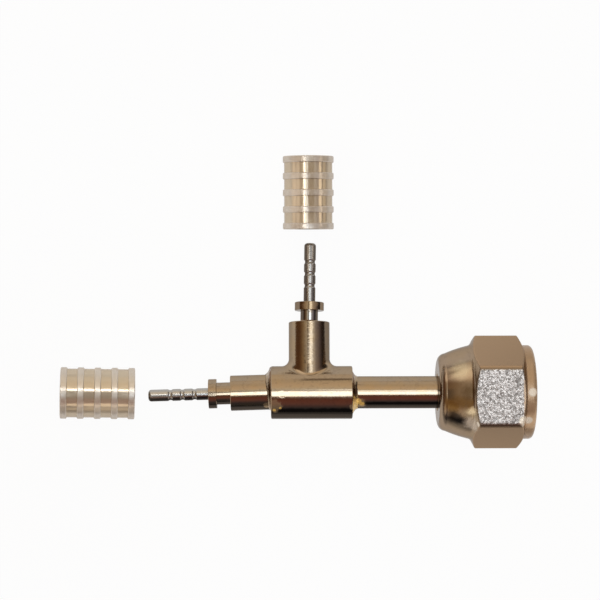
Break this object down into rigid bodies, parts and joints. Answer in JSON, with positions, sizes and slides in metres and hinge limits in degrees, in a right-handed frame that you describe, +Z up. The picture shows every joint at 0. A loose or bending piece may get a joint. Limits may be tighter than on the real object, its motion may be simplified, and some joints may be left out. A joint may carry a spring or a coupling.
{
  "type": "solder tee with union",
  "caption": "Small brazed tee with a loose flare nut on one end, two grooved hose tails and two ribbed crimp ferrules lying in front of them.",
  "frame": {"origin": "middle of the layout's outline, on the ground it lies on", "axes": "+X along the run towards the union, +Y along the branch, +Z up from the ground"},
  "size_m": [0.0806, 0.0498, 0.0178],
  "materials": {
    "tee_nickel": "bright turned, nickel washed",
    "tail_nickel": "bright turned, nickel washed",
    "stem_nickel": "bright turned, nickel washed",
    "nut_nickel": "satin, with frosted flats",
    "braze_alloy": "golden braze",
    "ferrule_metal": "bright turned"
  },
  "bodies": {
    "tee": {"tee_body": "tee_nickel", "run_hose_tail": "tail_nickel", "branch_hose_tail": "tail_nickel", "union_stem": "stem_nickel", "run_braze": "braze_alloy", "stem_braze": "braze_alloy", "branch_braze": "braze_alloy", "run_ferrule": "ferrule_metal", "branch_ferrule": "ferrule_metal"},
    "union": {"union_nut": "nut_nickel"}
  },
  "joints": [
    {"name": "union_turn", "type": "hinge", "parent": "tee", "child": "union", "pos_m": [0.03146, -0.01527, 0.00868], "axis": [0.9932, 0, 0.1165], "continuous": true}
  ]
}
